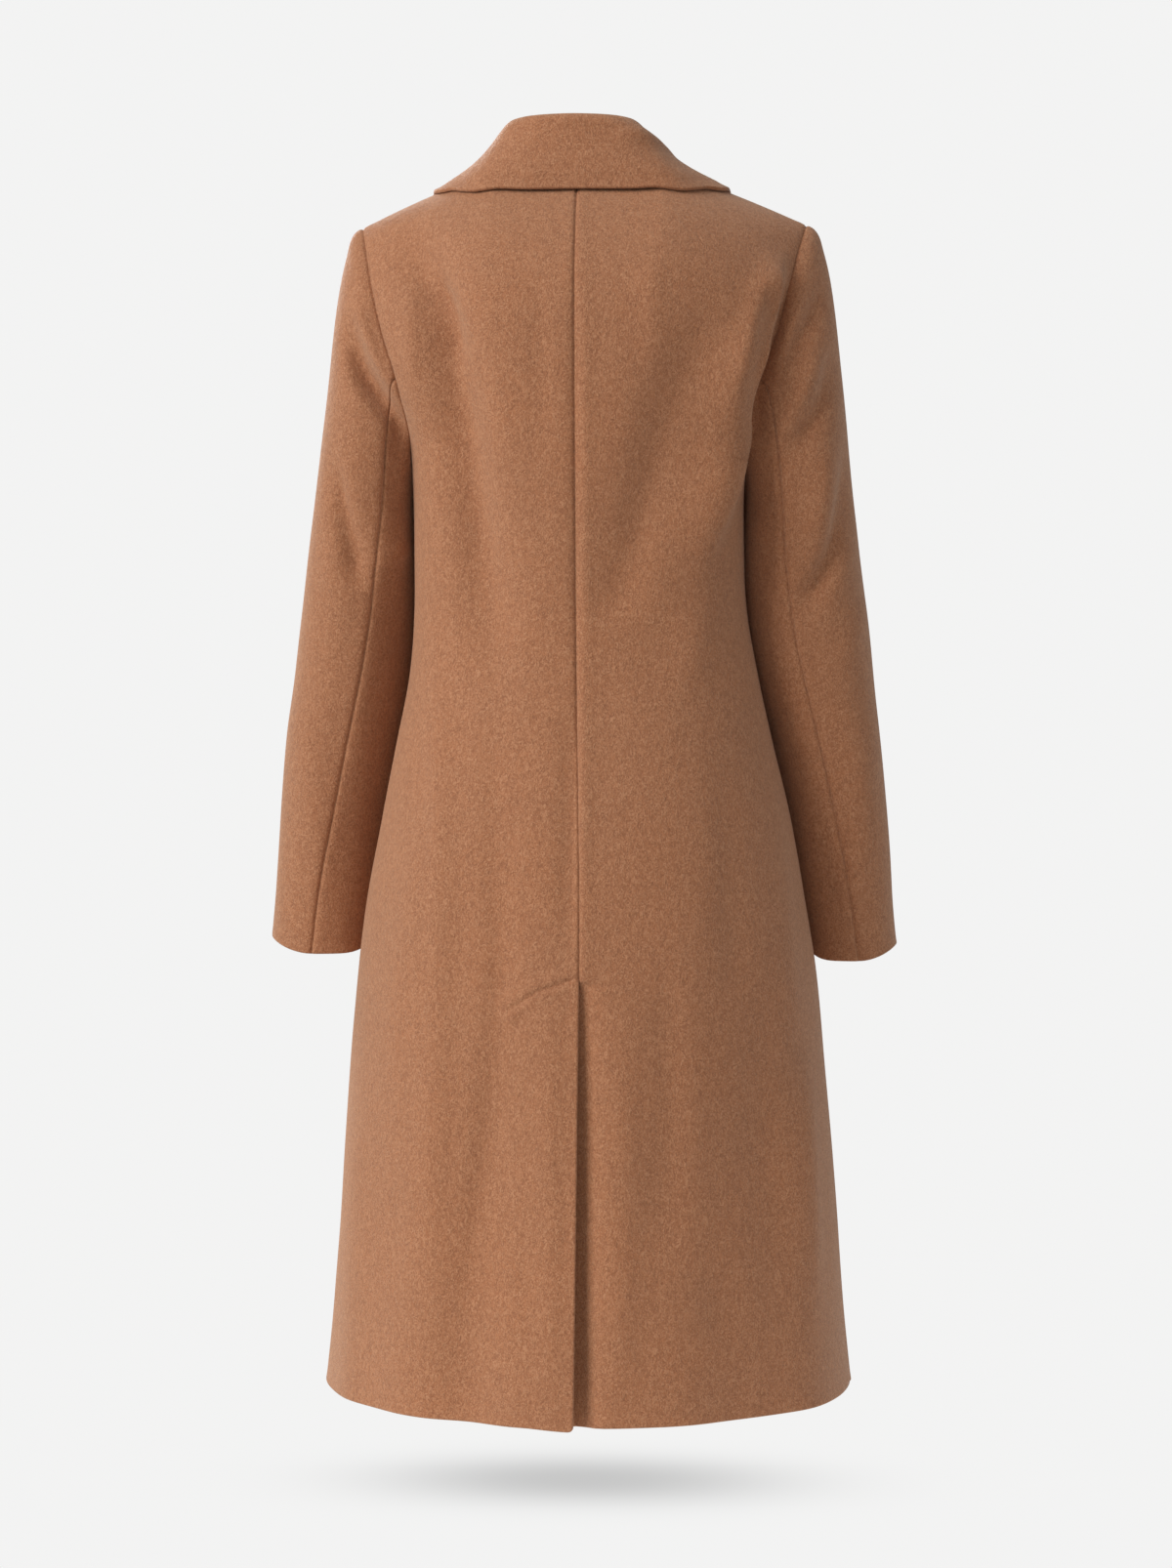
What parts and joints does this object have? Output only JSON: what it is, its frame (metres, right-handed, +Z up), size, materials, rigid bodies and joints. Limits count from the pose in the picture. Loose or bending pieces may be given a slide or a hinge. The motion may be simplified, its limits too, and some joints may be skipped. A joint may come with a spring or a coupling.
{
  "type": "double-breasted coat",
  "caption": "Long double-breasted wool coat with a folded collar and lapels, two-piece sleeves and a centre back vent, filled out as if worn and open at neck, cuffs and hem.",
  "frame": {"origin": "on the coat's centre line, level with the side neck points, where the wearer's shoulders carry it", "axes": "+Z up, from hem to collar; -Y out of the front, where the buttons are; +X to the wearer's left"},
  "size_m": [0.566, 0.3718, 1.1224],
  "materials": {
    "wool": "matt brushed wool, camel brown",
    "horn": "satin, dark brown horn look"
  },
  "bodies": {
    "root": {"back_left": "wool", "back_right": "wool", "front_left": "wool", "front_right": "wool", "lapel_left": "wool", "lapel_right": "wool", "collar": "wool", "top_sleeve_left": "wool", "top_sleeve_right": "wool", "under_sleeve_left": "wool", "under_sleeve_right": "wool", "button_1": "horn", "button_2": "horn", "button_3": "horn", "button_4": "horn", "button_5": "horn", "button_6": "horn"}
  },
  "joints": []
}
